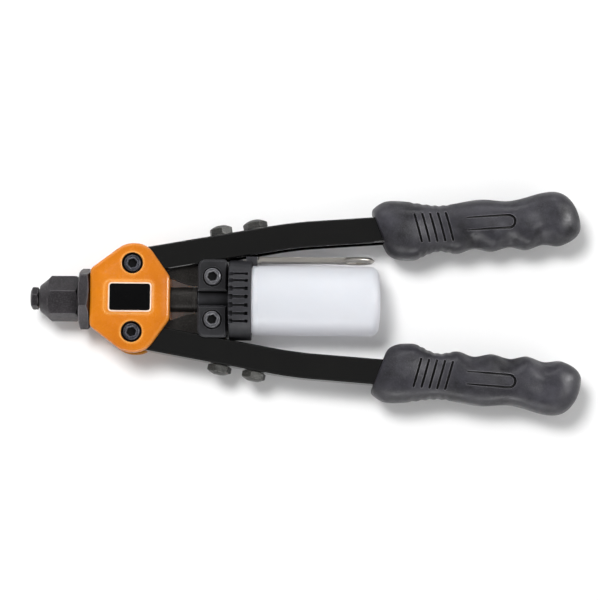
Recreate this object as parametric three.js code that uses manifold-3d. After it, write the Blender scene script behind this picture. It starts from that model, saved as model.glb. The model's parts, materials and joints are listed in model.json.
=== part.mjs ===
// Long-arm hand riveter for blind rivets, lying flat, in millimetres with +Z up.
// Two arms hinge on the head. Opening them pushes the spindle, with its jaws, towards the nose
// through two links; closing them pulls the rivet's mandrel back into the bottle.
import * as THREE from "three";
import { mergeVertices } from "three/addons/utils/BufferGeometryUtils.js";
import Module from "manifold-3d";

const wasm = await Module();
wasm.setup();

// Tool axes: X from the nose to the grips with 0 at the arm pivots, Y across, Z up from the mid-plane.
const TOOL_FRONT = -62.2;
const GAP = 0.3;
const DEGREE = Math.PI / 180;

// Linkage. The link joins the crank pin on the root lever to the crosshead.
const PIVOT = [0, 20.8];
const CRANK_PIN = [16.3, 22.5];
const LINK_PIN = [48.5, 13];
const LINK_BEND = [34, 15.3];
const ARM_OPENING = 55 * DEGREE;
const LINK_SWING = -25.75 * DEGREE;
const STROKE = 14;

// Head
const HEAD_FRONT = -25.6;
const HEAD_REAR = 22.8;
const HEAD_HALF_HEIGHT = 15;
const HEAD_TOP_Y = 33.2;
const SLOT_HALF_HEIGHT = 9.6;
const SLOT_INNER_Y = 12.2;
const HEAD_BORE_R = 8.3;
const SCREW_SEAT_Z = 11.4;
const NUT_SEAT_Z = -11.7;
const LABEL_PAD_Z = 15.8;

// Nose
const NOSE_THREAD_R = 11;
const NOSE_THREAD_END = -12.6;
const NOSE_BORE_R = 8.7;
const NOSE_HEX = 24.4;
const LOCK_NUT_HEX = 34;
const TIP_HEX = 12;
const RIVET_HOLE_R = 1.7;

// Spindle group
const SPINDLE_R = 7.65;
const SPINDLE_THREAD_R = 5.7;
const MANDREL_BORE_R = 3.6;
const JAW_CASE_FRONT = -29.5;
const JAW_CASE_R = 8;
const JAW_CONE_R = 3.9;
const JAW_CONE_ANGLE = 10 * DEGREE;
const CROSSHEAD_FRONT = 39.6;
const CROSSHEAD_REAR = 57.4;
const EAR_INNER_Y = 4.45;
const EAR_OUTER_Y = 23.6;
const EAR_HALF_HEIGHT = 13.2;
const LINK_HALF_THICKNESS = 3;
const COLLAR_R = 24.5;
const COLLAR_FRONT = 58.3;
const COLLAR_REAR = 72.1;
const POCKET_REAR = 75.2;
const POCKET_TOP = 25.9;
const POCKET_SLOT = [22.6, 24.6];
const BOTTLE_R = 21.3;
const BOTTLE_END = 150.4;
const BOTTLE_WALL = 1.6;
const NECK_R = 19.8;

// Arms: a straight channel, a gentle bend, then a straight run inside the grip.
const ARM_ORIGIN = [0, 21.96];
const ARM_ROOT_ANGLE = 10.2 * DEGREE;
const ARM_GRIP_ANGLE = 4.2 * DEGREE;
const ARM_BEND_START = 85;
const ARM_BEND_LENGTH = 29;
const ARM_EYE_R = 8.4;
const ARM_END = 220;
const ARM_HALF_WIDTH = 7.75;
const ARM_HALF_HEIGHT = 9;
const ARM_WALL = 2.5;
const LEVER_HALF_HEIGHT = 6.2;
const LEVER_EYE_R = 6;
const LEVER_END = 85;
const BOLT_STATIONS = [55.6, 76.8];
const BOLT_TURNS = { upper: [8, 22], lower: [-17, -11] };
const BOLT_R = 4;
const BOLT_HEX = 13;
const BOLT_HEAD = 5.3;

// Grips, measured from the middle of their front face along the arm.
const GRIP_START = 151;
const GRIP_LENGTH = 123.3;
const GRIP_SKEW = 0.3;
const GRIP_SQUARENESS = 2.5;

// Nosepiece wrench
const WRENCH_Y = 24.7;
const WRENCH_HALF_THICKNESS = 1.5;
const WRENCH_EYE_X = 136;
const WRENCH_EYE_R = 10.8;

// ---- materials ----
const finish = (color, roughness, metalness) =>
  new THREE.MeshStandardMaterial({ color, roughness, metalness });
const orangeCoat = finish(0xe8821a, 0.45, 0);
const labelBlack = finish(0x101012, 0.3, 0);
const darkSteel = finish(0x3e3a3a, 0.45, 0.8);
const brightSteel = finish(0x8d8c88, 0.35, 1);
const blackPaint = finish(0x0d0d0e, 0.2, 0.1);
const blackCasting = finish(0x2e2e31, 0.5, 0.3);
const screwBlack = finish(0x1c1c1e, 0.4, 0.7);
const gripRubber = finish(0x3f3f46, 0.6, 0);
const collarPlastic = finish(0x3c3c44, 0.55, 0);
const bottlePlastic = finish(0xe8e8f0, 0.4, 0);
const springSteel = finish(0x9a9a98, 0.3, 1);

// ---- solids ----
function solidOf(geometry) {
  const bare = geometry.index ? geometry.toNonIndexed() : geometry.clone();
  bare.deleteAttribute("normal");
  bare.deleteAttribute("uv");
  const merged = mergeVertices(bare, 1e-4);
  const vertProperties = merged.attributes.position.array;
  const triVerts = new Uint32Array(merged.index.array);
  return new wasm.Manifold(new wasm.Mesh({ numProp: 3, vertProperties, triVerts }));
}

function geometryOf(solid) {
  const { vertProperties, triVerts } = solid.getMesh();
  const geometry = new THREE.BufferGeometry();
  geometry.setAttribute("position", new THREE.BufferAttribute(vertProperties, 3));
  geometry.setIndex(new THREE.BufferAttribute(triVerts, 1));
  geometry.computeVertexNormals();
  return geometry;
}

const join = (first, ...others) => others.reduce((whole, part) => whole.add(part), first);
const cut = (first, ...others) => others.reduce((whole, part) => whole.subtract(part), first);

function box([x0, x1], [y0, y1], [z0, z1]) {
  const geometry = new THREE.BoxGeometry(x1 - x0, y1 - y0, z1 - z0);
  return solidOf(geometry.translate((x0 + x1) / 2, (y0 + y1) / 2, (z0 + z1) / 2));
}

// A body turned about the X axis, from a profile of [x, radius] that closes on the axis or on itself.
function turned(profile, segments = 24) {
  const points = profile.map(([x, radius]) => new THREE.Vector2(radius, x));
  return solidOf(new THREE.LatheGeometry(points, segments).rotateZ(-Math.PI / 2));
}

// A ring turned about the X axis, between an inner and an outer radius.
const ringX = ([x0, x1], inner, outer, segments = 24) =>
  turned([[x0, inner], [x0, outer], [x1, outer], [x1, inner], [x0, inner]], segments);

const rodX = ([x0, x1], radius, segments = 24) =>
  turned([[x0, 0], [x0, radius], [x1, radius], [x1, 0]], segments);

function rodZ([x, y], radius, [z0, z1], segments = 20) {
  const geometry = new THREE.CylinderGeometry(radius, radius, z1 - z0, segments);
  return solidOf(geometry.rotateX(Math.PI / 2).translate(x, y, (z0 + z1) / 2));
}

const acrossFlats = (width) => width / Math.sqrt(3);

// A hexagonal bar along X, turned by an angle, with both ends chamfered like a nut.
function hexX([x0, x1], width, chamfer, turn = 0) {
  const corner = acrossFlats(width);
  const geometry = new THREE.CylinderGeometry(corner, corner, x1 - x0, 6).rotateZ(-Math.PI / 2);
  const bar = solidOf(geometry.rotateX(turn).translate((x0 + x1) / 2, 0, 0));
  const face = width / 2;
  const outer = corner + 0.1;
  const rounding = [[x0, 0], [x0, face], [x0 + chamfer, outer], [x1 - chamfer, outer], [x1, face], [x1, 0]];
  return bar.intersect(turned(rounding, 30));
}

// A plate between two heights, with an optional bevel round both faces.
function plate(outline, [z0, z1], bevel = 0, curveSegments = 5) {
  const geometry = new THREE.ExtrudeGeometry(outline, {
    depth: z1 - z0 - 2 * bevel,
    bevelEnabled: bevel > 0,
    bevelThickness: bevel,
    bevelSize: bevel,
    bevelOffset: -bevel,
    bevelSegments: 1,
    curveSegments,
  });
  return solidOf(geometry.translate(0, 0, z0 + bevel));
}

// A closed outline of [x, y, setback] corners, each rounded from its setback along both sides.
function rounded(corners) {
  const shape = new THREE.Shape();
  const at = (index) => new THREE.Vector2(...corners.at(index % corners.length).slice(0, 2));
  corners.forEach(([, , setback = 0], index) => {
    const corner = at(index);
    const towards = (next) => corner.clone().add(next.sub(corner).setLength(setback));
    const start = towards(at(index - 1));
    const end = towards(at(index + 1));
    if (index === 0) shape.moveTo(start.x, start.y);
    else shape.lineTo(start.x, start.y);
    if (setback > 0) shape.quadraticCurveTo(corner.x, corner.y, end.x, end.y);
  });
  shape.closePath();
  return shape;
}

// The outline of a strap drawn round two circles.
function strap([x0, y0], r0, [x1, y1], r1) {
  const heading = Math.atan2(y1 - y0, x1 - x0);
  const spread = Math.acos((r0 - r1) / Math.hypot(x1 - x0, y1 - y0));
  const shape = new THREE.Shape();
  shape.absarc(x0, y0, r0, heading + spread, heading - spread + 2 * Math.PI, false);
  shape.absarc(x1, y1, r1, heading - spread, heading + spread, false);
  shape.closePath();
  return shape;
}

// A body through a row of rings of points, with its two ends closed by fans.
function loft(rings) {
  const sides = rings[0].length;
  const middle = (ring) => ring.reduce((sum, p) => sum.add(p), new THREE.Vector3()).divideScalar(sides);
  const points = [...rings.flat(), middle(rings[0]), middle(rings.at(-1))];
  const front = rings.length * sides;
  const last = front - sides;
  const faces = [];
  for (let side = 0; side < sides; side += 1) {
    const next = (side + 1) % sides;
    faces.push(front, next, side, front + 1, last + side, last + next);
    for (let ring = 0; ring < last; ring += sides) {
      faces.push(ring + side, ring + next, ring + sides + side);
      faces.push(ring + next, ring + sides + next, ring + sides + side);
    }
  }
  const geometry = new THREE.BufferGeometry().setFromPoints(points);
  geometry.setIndex(faces);
  return solidOf(geometry);
}

function turnedAbout([x, y], [cx, cy], angle) {
  const point = new THREE.Vector2(x, y).rotateAround(new THREE.Vector2(cx, cy), angle);
  return [point.x, point.y];
}

// ---- the arm's line ----
// A point a distance u along the arm's centre line from the pivot, and v outwards from it.
function armPoint(u, v) {
  const bend = ARM_ROOT_ANGLE - ARM_GRIP_ANGLE;
  const radius = ARM_BEND_LENGTH / bend;
  const first = Math.min(u, ARM_BEND_START);
  const turn = THREE.MathUtils.clamp((u - ARM_BEND_START) / radius, 0, bend);
  const rest = Math.max(u - ARM_BEND_START - ARM_BEND_LENGTH, 0);
  const angle = ARM_ROOT_ANGLE - turn;
  const x = first * Math.cos(ARM_ROOT_ANGLE) + radius * (Math.sin(ARM_ROOT_ANGLE) - Math.sin(angle));
  const y = first * Math.sin(ARM_ROOT_ANGLE) + radius * (Math.cos(angle) - Math.cos(ARM_ROOT_ANGLE));
  return [
    ARM_ORIGIN[0] + x + rest * Math.cos(angle) - v * Math.sin(angle),
    ARM_ORIGIN[1] + y + rest * Math.sin(angle) + v * Math.cos(angle),
  ];
}

// The outline of a strip that follows the arm between two distances and two offsets.
function armBand([u0, u1], [v0, v1]) {
  const bendSteps = 6;
  const stops = [u0];
  for (let step = 0; step <= bendSteps; step += 1) {
    const stop = ARM_BEND_START + (ARM_BEND_LENGTH * step) / bendSteps;
    if (stop > u0 && stop < u1) stops.push(stop);
  }
  stops.push(u1);
  const outer = stops.map((u) => armPoint(u, v1)).reverse();
  return rounded([...stops.map((u) => armPoint(u, v0)), ...outer]);
}

// ---- head ----
function headHousing() {
  const upperSide = [
    [HEAD_REAR, 12.85, 1.6],
    [8.5, HEAD_TOP_Y, 7],
    [-4.6, HEAD_TOP_Y, 5],
    [HEAD_FRONT, 17.4, 1.6],
  ];
  const lowerSide = upperSide.map(([x, y, setback]) => [x, -y, setback]).reverse();
  const outline = rounded([...upperSide, ...lowerSide]);
  const pad = rounded([[12.9, -10, 3], [12.9, 10, 3], [-15.6, 10, 3], [-15.6, -10, 3]]);
  const pocket = rounded([[11.5, -8.5, 2.6], [11.5, 8.5, 2.6], [-13.8, 8.5, 2.6], [-13.8, -8.5, 2.6]]);
  let head = join(
    plate(outline, [-HEAD_HALF_HEIGHT, HEAD_HALF_HEIGHT], 1.6),
    plate(pad, [HEAD_HALF_HEIGHT - 1, LABEL_PAD_Z], 0.5, 4),
  );
  head = cut(
    head,
    plate(pocket, [LABEL_PAD_Z - 0.6, LABEL_PAD_Z + 1], 0, 4),
    rodX([HEAD_FRONT - 1, HEAD_REAR + 1], HEAD_BORE_R),
    rodX([HEAD_FRONT - 1, NOSE_THREAD_END + GAP], NOSE_THREAD_R + GAP),
  );
  for (const side of [-1, 1]) {
    const pivot = [PIVOT[0], side * PIVOT[1]];
    const slotY = side > 0 ? [SLOT_INNER_Y, 40] : [-40, -SLOT_INNER_Y];
    head = cut(
      head,
      box([-11.5, 40], slotY, [-SLOT_HALF_HEIGHT, SLOT_HALF_HEIGHT]),
      rodZ(pivot, 6.3, [SCREW_SEAT_Z, 20], 24),
      rodZ(pivot, 4.3, [0, 20]),
      rodZ(pivot, 3.3, [-20, 0]),
      rodZ(pivot, 6.8, [-20, NUT_SEAT_Z], 24),
    );
  }
  return head;
}

function labelPlate() {
  const outline = rounded([[11.2, -8.2, 2.4], [11.2, 8.2, 2.4], [-13.5, 8.2, 2.4], [-13.5, -8.2, 2.4]]);
  return plate(outline, [LABEL_PAD_Z - GAP, LABEL_PAD_Z + 0.2], 0, 5);
}

// A socket-head screw along Z: its head, a shoulder that pieces turn on, and a thinner thread.
function socketScrew([headZ, topZ], [shoulderR, shoulderZ], [threadR, endZ]) {
  const socketDepth = 2;
  const socket = new THREE.CylinderGeometry(acrossFlats(5), acrossFlats(5), 2 * socketDepth, 6);
  return cut(
    join(
      rodZ([0, 0], 5, [headZ, topZ], 24),
      rodZ([0, 0], shoulderR, [shoulderZ, headZ + GAP]),
      rodZ([0, 0], threadR, [endZ, shoulderZ + GAP]),
    ),
    solidOf(socket.rotateX(Math.PI / 2).rotateZ(14 * DEGREE).translate(0, 0, topZ)),
  );
}

const pivotScrew = () => socketScrew([SCREW_SEAT_Z + GAP, 14.7], [4, -9.3], [3, -15.8]);
const linkScrew = () => socketScrew([12.5, 16.5], [3, 0], [3, -12.9]);

function pivotNut() {
  const corner = acrossFlats(10);
  const hex = new THREE.CylinderGeometry(corner, corner, 3.4, 6).rotateX(Math.PI / 2);
  return cut(solidOf(hex.translate(0, 0, NUT_SEAT_Z - 2)), rodZ([0, 0], 3.3, [-20, 0]));
}

// ---- nose ----
function noseHousing() {
  const hexFront = -50;
  const hexRear = -32.9;
  const coneFront = -56.7;
  return cut(
    join(
      turned([[coneFront, 0], [coneFront, 7.8], [hexFront + 0.2, 12.1], [hexFront + 0.2, 0]]),
      hexX([hexFront, hexRear], NOSE_HEX, 2.2, 13 * DEGREE),
      rodX([hexRear - 1, NOSE_THREAD_END], NOSE_THREAD_R),
    ),
    rodX([coneFront - 1, -40], 5.1),
    rodX([-48.4, 0], NOSE_BORE_R),
  );
}

const lockNut = () =>
  cut(hexX([-32.6, -26], LOCK_NUT_HEX, 1.5, 7.8 * DEGREE), rodX([-40, -20], NOSE_THREAD_R + GAP));

function nosepiece() {
  return cut(
    join(
      hexX([TOOL_FRONT, -57], TIP_HEX, 1, 15 * DEGREE),
      rodX([-58, -48.7], 4.8),
      rodX([-49, -43], 3.2, 24),
    ),
    rodX([TOOL_FRONT - 1, -40], RIVET_HOLE_R, 20),
  );
}

// ---- spindle group ----
function jawCase() {
  const rear = 2.5;
  const coneEnd = JAW_CASE_FRONT + 14;
  const coneEndR = JAW_CONE_R + 14 * Math.tan(JAW_CONE_ANGLE);
  return turned([
    [JAW_CASE_FRONT, JAW_CONE_R],
    [JAW_CASE_FRONT, JAW_CASE_R - 1],
    [JAW_CASE_FRONT + 1, JAW_CASE_R],
    [rear, JAW_CASE_R],
    [rear, SPINDLE_THREAD_R + GAP],
    [-5.2, SPINDLE_THREAD_R + GAP],
    [-5.2, coneEndR],
    [coneEnd, coneEndR],
    [JAW_CASE_FRONT, JAW_CONE_R],
  ]);
}

const jawCaseRing = () => ringX([2.8, 6.5], SPINDLE_THREAD_R + GAP, JAW_CASE_R - 0.1);

// One of three jaws: a slice of the cone round the mandrel, lying towards +Y.
function jaw() {
  const front = JAW_CASE_FRONT + 1;
  const rear = JAW_CASE_FRONT + 12;
  const halfSlice = 52 * DEGREE;
  const coneR = (x) => JAW_CONE_R + (x - JAW_CASE_FRONT) * Math.tan(JAW_CONE_ANGLE) - GAP;
  const reach = 20;
  const slice = new THREE.Shape([
    new THREE.Vector2(0, 0),
    new THREE.Vector2(reach * Math.sin(halfSlice), reach * Math.cos(halfSlice)),
    new THREE.Vector2(0, 2 * reach),
    new THREE.Vector2(-reach * Math.sin(halfSlice), reach * Math.cos(halfSlice)),
  ]);
  const sector = new THREE.ExtrudeGeometry(slice, { depth: rear - front, bevelEnabled: false });
  sector.rotateY(Math.PI / 2).translate(front, 0, 0);
  const cone = turned([[front, 0], [front, coneR(front)], [rear, coneR(rear)], [rear, 0]]);
  return cut(cone.intersect(solidOf(sector)), rodX([front - 1, rear + 1], 1.4, 18));
}

const jawPusher = () =>
  turned([
    [-17.2, 2.4], [-17.2, 5.6], [-16.4, 6], [-14, 6], [-14, 4], [-7.5, 4], [-7.5, 2.4], [-17.2, 2.4],
  ]);

// The jaw spring, a wire wound between the pusher's flange and the spindle's front end.
function jawSpring() {
  const wireR = 0.5;
  const coilR = 4.95;
  const turns = 5;
  const [start, end] = [-13.2, -4.4];
  class Coil extends THREE.Curve {
    getPoint(t, target = new THREE.Vector3()) {
      const angle = 2 * Math.PI * turns * t;
      return target.set(start + (end - start) * t, coilR * Math.cos(angle), coilR * Math.sin(angle));
    }
  }
  const section = new THREE.Shape().absarc(0, 0, wireR, 0, 2 * Math.PI, false);
  return solidOf(
    new THREE.ExtrudeGeometry(section, { steps: 10 * turns, curveSegments: 3, extrudePath: new Coil() }),
  );
}

const spindle = () =>
  turned([
    [-3.5, MANDREL_BORE_R],
    [-3.5, SPINDLE_THREAD_R],
    [6.8, SPINDLE_THREAD_R],
    [6.8, SPINDLE_R],
    [CROSSHEAD_FRONT - GAP, SPINDLE_R],
    [CROSSHEAD_FRONT - GAP, SPINDLE_THREAD_R],
    [68, SPINDLE_THREAD_R],
    [68, MANDREL_BORE_R],
    [-3.5, MANDREL_BORE_R],
  ]);

function crosshead() {
  let body = rodX([CROSSHEAD_FRONT, CROSSHEAD_REAR + 0.6], 9.2);
  for (const side of [-1, 1]) {
    const ear = rounded([
      [CROSSHEAD_FRONT, side * EAR_INNER_Y],
      [CROSSHEAD_REAR, side * EAR_INNER_Y],
      [CROSSHEAD_REAR, side * EAR_OUTER_Y, 2.4],
      [CROSSHEAD_FRONT, side * EAR_OUTER_Y, 5.3],
    ]);
    body = join(body, plate(ear, [-EAR_HALF_HEIGHT, EAR_HALF_HEIGHT], 1.1, 5));
  }
  body = cut(body, rodX([30, 70], SPINDLE_THREAD_R + GAP));
  const armRoom = armBand([0, 80], [-ARM_HALF_WIDTH - 0.7, 20]);
  for (const side of [-1, 1]) {
    const pin = [LINK_PIN[0], side * LINK_PIN[1]];
    const linkSlotY = side > 0 ? [7.2, 30] : [-30, -7.2];
    const room = plate(armRoom, [-SLOT_HALF_HEIGHT, SLOT_HALF_HEIGHT]);
    body = cut(
      body,
      box([38, 54.7], linkSlotY, [-LINK_HALF_THICKNESS - GAP, LINK_HALF_THICKNESS + GAP]),
      side > 0 ? room : room.mirror([0, 1, 0]),
      rodZ(pin, 3.3, [-20, 20]),
      rodZ(pin, 5.6, [12.2, 20], 24),
    );
  }
  return body;
}

const link = () =>
  cut(
    join(
      plate(strap(LINK_PIN, 5.3, LINK_BEND, 6.2), [-LINK_HALF_THICKNESS, LINK_HALF_THICKNESS]),
      plate(strap(LINK_BEND, 6.2, CRANK_PIN, 6.6), [-LINK_HALF_THICKNESS, LINK_HALF_THICKNESS]),
    ),
    rodZ(LINK_PIN, 3.3, [-20, 20]),
    rodZ(CRANK_PIN, 4.9, [-20, 20]),
  );

const spindleNut = () => cut(hexX([62.3, 67.3], 17, 0.8), rodX([60, 70], SPINDLE_THREAD_R + GAP));

function bottleCollar() {
  const frontWall = 62;
  const threadR = NECK_R + GAP;
  let collar = turned(
    [
      [COLLAR_FRONT, SPINDLE_THREAD_R + 0.6],
      [COLLAR_FRONT, COLLAR_R - 1],
      [COLLAR_FRONT + 1, COLLAR_R],
      [COLLAR_REAR - 0.6, COLLAR_R],
      [COLLAR_REAR, COLLAR_R - 0.6],
      [COLLAR_REAR, threadR],
      [frontWall, threadR],
      [frontWall, SPINDLE_THREAD_R + 0.6],
      [COLLAR_FRONT, SPINDLE_THREAD_R + 0.6],
    ],
    44,
  );
  const groovePitch = 12 * DEGREE;
  for (let index = -3; index <= 3; index += 1) {
    for (const face of [0, Math.PI]) {
      const groove = new THREE.BoxGeometry(10.5, 2, 2);
      groove.translate(64.7, 0, COLLAR_R).rotateX(face + index * groovePitch);
      collar = cut(collar, solidOf(groove));
    }
  }
  // The pocket for the wrench stands up beside the bottle's shoulder.
  const pocket = cut(
    box([68.6, POCKET_REAR], [20.5, POCKET_TOP], [-7.6, 7.6]),
    rodX([COLLAR_REAR, POCKET_REAR + 1], BOTTLE_R + 0.4, 44),
  );
  return cut(join(collar, pocket), box([66.5, POCKET_REAR + 1], POCKET_SLOT, [-6.4, 6.4]));
}

// The bottle: a threaded neck inside the collar, a shoulder against it and a slightly domed end.
function bottle() {
  const neckFront = 62.6;
  const shoulder = COLLAR_REAR + GAP;
  const corner = 5.5;
  const dome = 0.8;
  const endCorner = (inset) =>
    [0, 1, 2, 3, 4, 5].map((step) => {
      const angle = (step / 5) * 90 * DEGREE;
      const radius = corner - inset;
      return [
        BOTTLE_END - dome - corner + radius * Math.sin(angle),
        BOTTLE_R - corner + radius * Math.cos(angle),
      ];
    });
  return turned(
    [
      [neckFront, NECK_R - BOTTLE_WALL],
      [neckFront, NECK_R],
      [shoulder, NECK_R],
      [shoulder, BOTTLE_R - 0.8],
      [shoulder + 0.8, BOTTLE_R],
      ...endCorner(0),
      [BOTTLE_END, 0],
      [BOTTLE_END - BOTTLE_WALL, 0],
      ...endCorner(BOTTLE_WALL).reverse(),
      [shoulder + 4, BOTTLE_R - BOTTLE_WALL],
      [shoulder + 1, NECK_R - BOTTLE_WALL],
      [neckFront, NECK_R - BOTTLE_WALL],
    ],
    32,
  );
}

// The wrench stands on edge beside the bottle. Its tongue is held in the collar's pocket.
function wrench() {
  const shankEnd = POCKET_REAR + 0.4;
  const eye = new THREE.Shape();
  const neck = 6 * DEGREE;
  eye.moveTo(shankEnd, -6);
  eye.lineTo(WRENCH_EYE_X - WRENCH_EYE_R * 1.5, -5.4);
  eye.absarc(WRENCH_EYE_X, 0, WRENCH_EYE_R, -150 * DEGREE + neck, 150 * DEGREE - neck, false);
  eye.lineTo(WRENCH_EYE_X - WRENCH_EYE_R * 1.5, 5.4);
  eye.lineTo(shankEnd, 6);
  const stand = (solid, y0) => solid.rotate([90, 0, 0]).translate([0, y0, 0]);
  const thickness = 2 * WRENCH_HALF_THICKNESS;
  const corner = acrossFlats(TIP_HEX + 0.3);
  const hexHole = new THREE.CylinderGeometry(corner, corner, 10, 6).rotateY(Math.PI / 6);
  return cut(
    join(
      stand(plate(eye, [0, thickness], 0.5, 10), WRENCH_Y + WRENCH_HALF_THICKNESS),
      box([67, shankEnd + 1], [POCKET_SLOT[0] + GAP, POCKET_SLOT[1] - GAP], [-6, 6]),
    ),
    solidOf(hexHole.translate(WRENCH_EYE_X, WRENCH_Y, 0)),
  );
}

// ---- arm ----
// Where a point of the link lies, as seen from the arm, with the tool opened by a fraction.
function linkPointFromArm(point, opened) {
  const [x, y] = turnedAbout(point, LINK_PIN, LINK_SWING * opened);
  return turnedAbout([x - STROKE * opened, y], PIVOT, -ARM_OPENING * opened);
}

function rootLever() {
  const height = [-LEVER_HALF_HEIGHT, LEVER_HALF_HEIGHT];
  const innerEdge = -5.5;
  const outerEdge = ARM_HALF_WIDTH - ARM_WALL - GAP;
  const middle = (innerEdge + outerEdge) / 2;
  const barR = (outerEdge - innerEdge) / 2;
  let lever = join(
    plate(strap(PIVOT, LEVER_EYE_R, CRANK_PIN, 7), height),
    plate(strap(CRANK_PIN, 7, armPoint(30, middle), barR), height),
    plate(strap(armPoint(22, middle), barR, armPoint(LEVER_END - barR, middle), barR), height),
  );
  lever = cut(lever, rodZ(PIVOT, 4.3, [-20, 20]), rodZ(CRANK_PIN, 3.3, [-20, 20]));
  const slot = [-LINK_HALF_THICKNESS - GAP, LINK_HALF_THICKNESS + GAP];
  const crankRoom = 8.9;
  const linkRoom = 7;
  for (const opened of [0, 0.33, 0.67, 1]) {
    const [pin, bend, crank] = [LINK_PIN, LINK_BEND, CRANK_PIN].map((p) => linkPointFromArm(p, opened));
    lever = cut(
      lever,
      plate(strap(crank, crankRoom, bend, linkRoom), slot),
      plate(strap(bend, linkRoom, pin, linkRoom - 0.5), slot),
    );
  }
  for (const station of BOLT_STATIONS) lever = cut(lever, boltHole(station));
  return lever;
}

function boltHole(station) {
  const hole = new THREE.CylinderGeometry(BOLT_R + GAP, BOLT_R + GAP, 30, 20);
  const [x, y] = armPoint(station, 0);
  return solidOf(hole.rotateZ(ARM_ROOT_ANGLE).translate(x, y, 0));
}

// The channel opens inwards. Its flanges end in round eyes on the pivot screw.
function armChannel() {
  const height = [-ARM_HALF_HEIGHT, ARM_HALF_HEIGHT];
  const outside = armBand([0, ARM_END], [-ARM_HALF_WIDTH, ARM_HALF_WIDTH]);
  const inside = armBand([-20, ARM_END + 5], [-ARM_HALF_WIDTH - 9, ARM_HALF_WIDTH - ARM_WALL]);
  return cut(
    join(plate(outside, height, 0.7), plate(strap(PIVOT, ARM_EYE_R, armPoint(16, 0), 7.6), height, 0.7)),
    plate(inside, [ARM_WALL - ARM_HALF_HEIGHT, ARM_HALF_HEIGHT - ARM_WALL]),
    rodZ(PIVOT, 4.3, [-20, 20]),
    ...BOLT_STATIONS.map((station) => cut(boltHole(station), box([-1, 200], [-50, 20], [-20, 20]))),
  );
}

// An arm bolt along Y, with its head outwards and 0 at the arm's centre line.
function armBolt(turn) {
  const seat = ARM_HALF_WIDTH + GAP;
  const head = hexX([seat, seat + BOLT_HEAD], BOLT_HEX, 0.7, turn * DEGREE);
  return join(head, rodX([-4.8, seat + GAP], BOLT_R, 20)).rotate([0, 0, 90]);
}

const linkPin = () => rodZ(CRANK_PIN, 3, [-LEVER_HALF_HEIGHT, LEVER_HALF_HEIGHT], 24);

// ---- grip ----
// A smooth run through [distance, value] knots, level at each knot.
function along(knots, t) {
  const next = knots.findIndex(([distance]) => distance >= t);
  if (next <= 0) return knots.at(next)[1];
  const [[t0, v0], [t1, v1]] = [knots[next - 1], knots[next]];
  return THREE.MathUtils.lerp(v0, v1, THREE.MathUtils.smoothstep(t, t0, t1));
}

const GRIP_OUTER = [[0, 15.6], [11, 17.8], [39, 13.2], [63, 15.2], [80, 13.3], [106, 17.3], [125, 17.3]];
const GRIP_INNER = [[0, -18], [17, -19.2], [36, -14.8], [47, -16.8], [57, -14.5], [68, -16.8],
  [79, -14.9], [89, -17.2], [100, -14.7], [111, -16.4], [125, -16.4]];
const GRIP_HEIGHT = [[0, 16.4], [12, 17], [40, 13.6], [63, 14.4], [80, 13.6], [106, 16], [125, 16]];

// One cross-section of the grip: a squared-off oval between its outer and inner edges.
function gripRing(t) {
  const sides = 16;
  const frontRound = 9;
  const endRound = 17;
  const endMiddle = -5;
  const front = Math.min(1, 0.72 + 0.28 * Math.sqrt(1 - (1 - Math.min(t / frontRound, 1)) ** 2));
  const rear = Math.sqrt(Math.max(0, 1 - Math.max(0, (t - GRIP_LENGTH + endRound) / endRound) ** 2));
  const pull = THREE.MathUtils.smoothstep(t, GRIP_LENGTH - endRound, GRIP_LENGTH) * endMiddle;
  const outer = pull + (along(GRIP_OUTER, t) * front - pull) * rear;
  const inner = pull + (along(GRIP_INNER, t) * front - pull) * rear;
  const height = along(GRIP_HEIGHT, t) * front * rear;
  const skew = GRIP_SKEW * Math.max(0, 1 - t / 30);
  const power = 2 / GRIP_SQUARENESS;
  return Array.from({ length: sides }, (_, side) => {
    const angle = (2 * Math.PI * side) / sides;
    const across = Math.sign(Math.cos(angle)) * Math.abs(Math.cos(angle)) ** power;
    const up = Math.sign(Math.sin(angle)) * Math.abs(Math.sin(angle)) ** power;
    const v = (outer + inner) / 2 + (across * (outer - inner)) / 2;
    return new THREE.Vector3(t - skew * v, v, height * up);
  });
}

function grip() {
  const stations = 30;
  const rings = [];
  for (let index = 0; index < stations; index += 1) {
    const share = index / (stations - 1);
    rings.push(gripRing(GRIP_LENGTH * 0.9995 * Math.sin(share * 90 * DEGREE) ** 1.1));
  }
  const armRoom = [ARM_HALF_WIDTH + GAP, ARM_HALF_HEIGHT + GAP];
  const depth = ARM_END - GRIP_START + GAP;
  return cut(loft(rings), box([-20, depth], [-armRoom[0], armRoom[0]], [-armRoom[1], armRoom[1]]));
}

// ---- assembly ----
const tool = new THREE.Group();

function put(parent, name, solid, material, position = [0, 0, 0]) {
  const mesh = new THREE.Mesh(geometryOf(solid), material);
  mesh.name = name;
  mesh.position.set(...position);
  parent.add(mesh);
  return mesh;
}

function addArm(side) {
  const half = new THREE.Group();
  half.scale.y = side === "upper" ? 1 : -1;
  tool.add(half);
  put(half, `${side}_pivot_screw`, pivotScrew(), screwBlack, [...PIVOT, 0]);
  put(half, `${side}_pivot_nut`, pivotNut(), darkSteel, [...PIVOT, 0]);
  put(half, `${side}_root_lever`, rootLever(), darkSteel);
  put(half, `${side}_link_pin`, linkPin(), brightSteel);
  put(half, `${side}_link`, link(), darkSteel);
  put(half, `${side}_link_screw`, linkScrew(), screwBlack, [...LINK_PIN, 0]);
  put(half, `${side}_arm_channel`, armChannel(), blackPaint);
  BOLT_STATIONS.forEach((station, index) => {
    const name = `${side}_arm_bolt_${index + 1}`;
    const bolt = put(half, name, armBolt(BOLT_TURNS[side][index]), darkSteel);
    bolt.position.set(...armPoint(station, 0), 0);
    bolt.rotation.z = ARM_ROOT_ANGLE;
  });
  const handle = put(half, `${side}_grip`, grip(), gripRubber, [...armPoint(GRIP_START, 0), 0]);
  handle.rotation.z = ARM_GRIP_ANGLE;
}

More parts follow.
